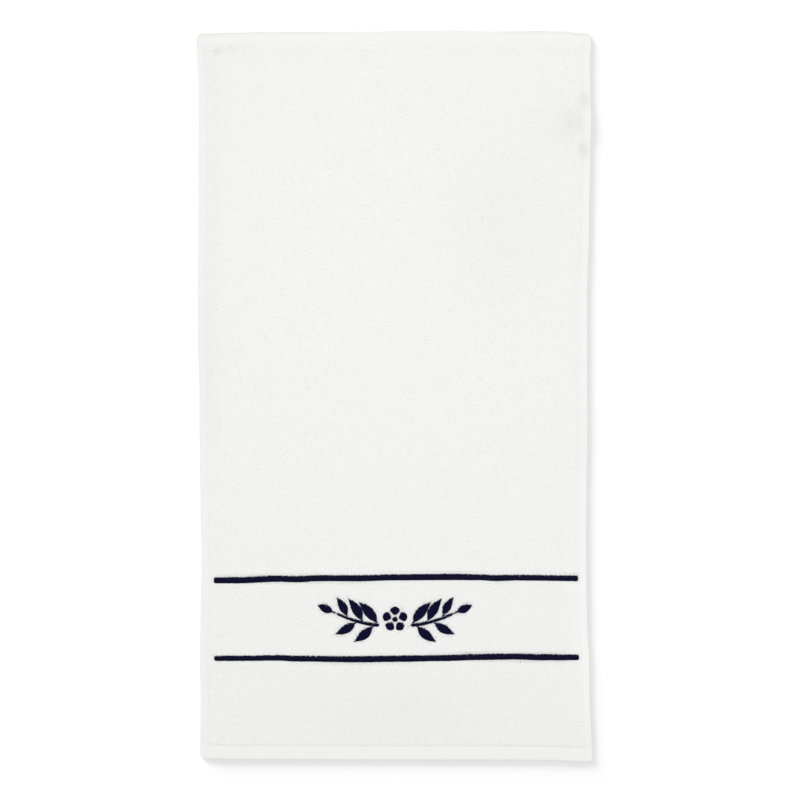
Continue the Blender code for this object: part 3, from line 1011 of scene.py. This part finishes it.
def tubes(path, radius, tone):
    """Closed four-sided tubes along paths (tube, station, 3), and each corner's share of painted light:
    most on its crown.
    """
    ahead = unit(np.gradient(path, axis=1))
    side = unit(np.stack([ahead[..., 1], -ahead[..., 0], np.zeros_like(ahead[..., 0])], axis=-1))
    up = np.cross(side, ahead)
    corners = [path + side * radius, path + up * radius, path - side * radius, path - up * radius]
    count, rings = path.shape[:2]
    index = np.arange(count * rings * 4).reshape(count, rings, 4)
    near, far = index[:, :-1], index[:, 1:]
    around = [near, far, np.roll(far, -1, axis=2), np.roll(near, -1, axis=2)]
    sides = np.stack(around, axis=-1).reshape(-1, 4)
    caps = np.concatenate([index[:, 0], index[:, -1, ::-1]])
    crown = np.broadcast_to(tone[:, None, None] * CORNER_PAINTED_LIGHT, index.shape)
    return np.stack(corners, axis=2).reshape(-1, 3), np.concatenate([sides, caps]), crown.ravel()


def stitches(starts, ends, rise, tone):
    """Threads from starts to ends: height above the cloth is (rise + sink) * sqrt(1 - s^2) - sink."""
    s = -np.cos(np.linspace(0, np.pi, THREAD_STATIONS))
    share = ((s + 1) / 2)[None, :, None]
    plan = starts[:, None] * (1 - share) + ends[:, None] * share
    arch = (rise[:, None] + SINK) * np.sqrt(1 - s**2) - SINK
    height = face_height(plan[..., 0], plan[..., 1]) + arch
    return tubes(np.dstack([plan, height]), THREAD_RADIUS, tone)


def joined(parts):
    """Several (points, faces, crown) as one, with each part's point numbers moved past the last."""
    points, faces, crown = zip(*parts)
    offsets = np.cumsum([0] + [len(part) for part in points[:-1]])
    moved = [part + offset for part, offset in zip(faces, offsets)]
    return np.concatenate(points), np.concatenate(moved), np.concatenate(crown)


print("threads are", 2 * THREAD_RADIUS / MM, "mm across, every", THREAD_PITCH / MM, "mm")

# %% [markdown]
# ## Padding, bars and sprig
#
# Under the threads lies padding, a solid rounded band, so no white shows between them. A bar's
# threads run right across it with a slight slant. A leaf or petal is worked in two halves, from
# its midrib out to each edge, with the threads leaning towards its tip. Its padding has a groove
# where the halves meet.

# %% Padding
ROUND_SECTION = (
    # side, height, both as shares
    (-1.0, -0.9),
    (-1.0, 0.1),
    (-0.6, 0.7),
    (-0.2, 0.88),
    (0.2, 0.88),
    (0.6, 0.7),
    (1.0, 0.1),
    (1.0, -0.9),
)
SPLIT_SECTION = (
    (-1.0, -0.9),
    (-1.0, 0.1),
    (-0.55, 0.6),
    (-0.1, 0.15),
    (0.1, 0.15),
    (0.55, 0.6),
    (1.0, 0.1),
    (1.0, -0.9),
)
PADDING_WIDTH = 0.84
# A small share of painted light, so the padding between threads takes the navy's painted shade.
PADDING_PAINTED_LIGHT = 0.1
CAP_FACES = np.array([(0, 1, 6, 7), (1, 2, 5, 6), (2, 3, 4, 5)])


def distances(line):
    """Distance along a line at each of its points."""
    return np.concatenate([[0], np.cumsum(np.linalg.norm(np.diff(line, axis=0), axis=1))])


def on_patch(line, half_width, at, share):
    """The point a distance along the centre line and a share of the half width to its right."""
    distance = distances(line)
    heading = unit(np.gradient(line, axis=0))
    at = np.clip(at, 0, distance[-1])
    centre = np.stack([np.interp(at, distance, line[:, k]) for k in (0, 1)], axis=-1)
    ahead = np.stack([np.interp(at, distance, heading[:, k]) for k in (0, 1)], axis=-1)
    sideways = unit(np.stack([ahead[..., 1], -ahead[..., 0]], axis=-1))
    return centre + sideways * (share * np.interp(at, distance, half_width))[..., None]


def fullness(half_width):
    """Narrow ends rise less: twice the half width over the widest, from a half to one."""
    return np.clip(2 * half_width / half_width.max(), 0.5, 1)


def padding(line, half_width, section):
    """A closed band: the section's corners at every point of the line, and three squares at each end."""
    section = np.array(section)
    share = section[None, :, 0] * PADDING_WIDTH
    at = np.broadcast_to(distances(line)[:, None], (len(line), len(section)))
    plan = on_patch(line, half_width, at, share)
    above = CLEARANCE + STITCH_HEIGHT * section[:, 1] * fullness(half_width)[:, None]
    height = face_height(plan[..., 0], plan[..., 1]) + above
    index = np.arange(height.size).reshape(height.shape)
    around = np.concatenate([index, index[:, :1]], axis=1)
    ends = [index[0][CAP_FACES[:, ::-1]], index[-1][CAP_FACES]]
    points = np.dstack([plan, height]).reshape(-1, 3)
    return points, np.concatenate([grid_faces(around), *ends]), np.full(len(points), PADDING_PAINTED_LIGHT)


# %% Satin stitch
SLANTS = {"bar": 0.06, "stem": 0.45, "eye": 0.0, "leaf": 0.85, "petal": 0.5}
RAGGED = 0.25 * MM
MIDRIB_WANDER = 0.06
HALF_RISE = 0.85
RISES = (0.93, 1.05)
TONES = (0.45, 1)


def satin(line, half_width, kind, rng):
    """Threads of one patch: edge to edge, or for leaf and petal from the midrib to each edge."""
    total = distances(line)[-1]
    at = np.arange(THREAD_PITCH / 2, total, THREAD_PITCH)
    half = np.interp(at, distances(line), half_width)
    ragged = rng.uniform(-RAGGED, RAGGED, (4, len(at))) / np.maximum(half, 2 * RAGGED)
    rise = CLEARANCE + STITCH_HEIGHT * np.interp(at, distances(line), fullness(half_width)) - THREAD_RADIUS
    rise = rise * rng.uniform(*RISES, len(at))
    # each thread's random share of the painted highlight on its crown
    tone = rng.uniform(*TONES, len(at))
    lean = SLANTS[kind] * half
    if kind in ("leaf", "petal"):
        inner = on_patch(line, half_width, at - lean, MIDRIB_WANDER * ragged[2])
        left = stitches(inner, on_patch(line, half_width, at, -1 + ragged[0]), HALF_RISE * rise, tone)
        right = stitches(inner, on_patch(line, half_width, at, 1 + ragged[1]), HALF_RISE * rise, tone)
        return joined([padding(line, half_width, SPLIT_SECTION), left, right])
    first = on_patch(line, half_width, at - lean, -1 + ragged[0])
    last = on_patch(line, half_width, at + lean, 1 + ragged[1])
    return joined([padding(line, half_width, ROUND_SECTION), stitches(first, last, rise, tone)])


thread_rng = np.random.default_rng(5)
total = 0
for node, (line, half_width) in patches.items():
    kind = next(word for word in SLANTS if word in node)
    points, faces, crown = satin(line, half_width, kind, thread_rng)
    patch = add_piece(f"{node}_stitching", points, faces, navy_thread, "navy_thread", [node], crown=crown)
    total += triangle_count(patch)
print("stitching:", len(patches), "pieces,", total, "triangles")

# %% [markdown]
# ## Hem seams
#
# Each hem is held by a row of white lockstitches that sink into the cloth. A stitch is a short
# thread lying in the groove, with a small gap where the needle went down. They are placed in the
# cut cloth's own measure and then laid with it, so they follow every pull of the edge.

# %% Hem seams
SEAM_STITCH = 2.5 * MM
SEAM_GAP = 0.6 * MM
SEAM_RADIUS = 0.15 * MM
SEAM_STATIONS = 5
SEAM_ARCH = 0.2 * MM
SEAM_SINK = 0.1 * MM
# A small share of painted light, so the seam thread in its groove is mostly painted shade.
SEAM_PAINTED_LIGHT = 0.2
SEAM_END = 2 * MM


def seam(fixed, reach, is_side):
    """Stitches along one hem: the fixed coordinate stays, the other runs from -reach to +reach."""
    starts = np.arange(-reach, reach - SEAM_STITCH, SEAM_STITCH + SEAM_GAP)
    share = np.linspace(0, 1, SEAM_STATIONS)
    run = starts[:, None] + SEAM_STITCH * share
    still = np.full_like(run, fixed)
    over, up = (still, run) if is_side else (run, still)
    path = cloth_surface(over, up)[0]
    path[..., 2] += SEAM_ARCH * np.sin(np.pi * share) - SEAM_SINK
    return tubes(path, SEAM_RADIUS, np.full(len(path), SEAM_PAINTED_LIGHT))


side_seam, end_seam = WIDTH / 2 - SIDE_HEM, LENGTH / 2 - END_HEM
seams = [seam(side * side_seam, LENGTH / 2 - SEAM_END, True) for side in (-1, 1)]
seams += [seam(end * end_seam, WIDTH / 2 - SEAM_END, False) for end in (FOOT, HEAD)]
points, faces, crown = joined(seams)
hem_stitches = add_piece("hem_stitches", points, faces, white_thread, "white_terry", crown=crown)
print("hem stitches:", triangle_count(hem_stitches), "triangles")

# %% [markdown]
# ## Loops that lean on the stitching
#
# Where stitches press the pile down, the loops beside them stand up and lean over the edge, more
# so on the side away from the towel's foot. Each is a small arch of white yarn: its two feet are
# in the cloth just outside the patch, and its crown leans in over the thread.

# %% Leaning loops
LOOP_RADIUS = 0.24 * MM
LOOP_STATIONS = 6
LOOP_SPACING = 1.5 * MM
LOOP_SINK = 0.9 * MM
LOOP_HEIGHT = 0.4 * MM
FAR_LEANING = 0.12
FAR_LEAN = 1.9


def leaning_loops(line, half_width, side, rng):
    """Arches beside one edge: feet apart along it, and height and lean both follow sin(pi * s)."""
    total = distances(line)[-1]
    at = np.arange(0, total, LOOP_SPACING)
    at = at + rng.uniform(-0.5, 0.5, len(at)) * LOOP_SPACING
    edge = on_patch(line, half_width, at, side * np.ones(len(at)))
    outwards = unit(edge - on_patch(line, half_width, at, np.zeros(len(at))))
    kept = rng.uniform(0, 1, len(at)) < 0.45 + 0.45 * outwards[:, 1]
    edge, outwards = edge[kept], outwards[kept]
    count = len(edge)
    foot = edge + outwards * rng.uniform(0.1, 0.7, (count, 1)) * MM
    spread = unit(np.stack([outwards[:, 1], -outwards[:, 0]], axis=1) + rng.normal(0, 0.5, (count, 2)))
    spread = spread * rng.uniform(0.5, 1.1, (count, 1)) * MM
    lean = -outwards * rng.uniform(0.3, 1.0, (count, 1)) * MM
    lean = lean * np.where(rng.uniform(0, 1, (count, 1)) < FAR_LEANING, FAR_LEAN, 1)
    crown = rng.uniform(1.1, 1.7, (count, 1)) * MM
    share = np.linspace(0, 1, LOOP_STATIONS)
    arch = np.sin(np.pi * share)[None, :]
    plan = foot[:, None] + spread[:, None] * (share - 0.5)[None, :, None] + lean[:, None] * arch[..., None]
    height = face_height(plan[..., 0], plan[..., 1]) - LOOP_SINK + (crown + LOOP_HEIGHT) * arch
    # each arch takes the full painted light on its crown and painted shade underneath
    return tubes(np.dstack([plan, height]), LOOP_RADIUS, np.ones(count))


loop_rng = np.random.default_rng(8)
loop_parts = [
    leaning_loops(line, half_width, side, loop_rng)
    for line, half_width in patches.values()
    for side in (-1, 1)
]
points, faces, crown = joined(loop_parts)
loops = add_piece("leaning_loops", points, faces, white_thread, "white_terry", crown=crown)
print("leaning loops:", triangle_count(loops), "triangles")
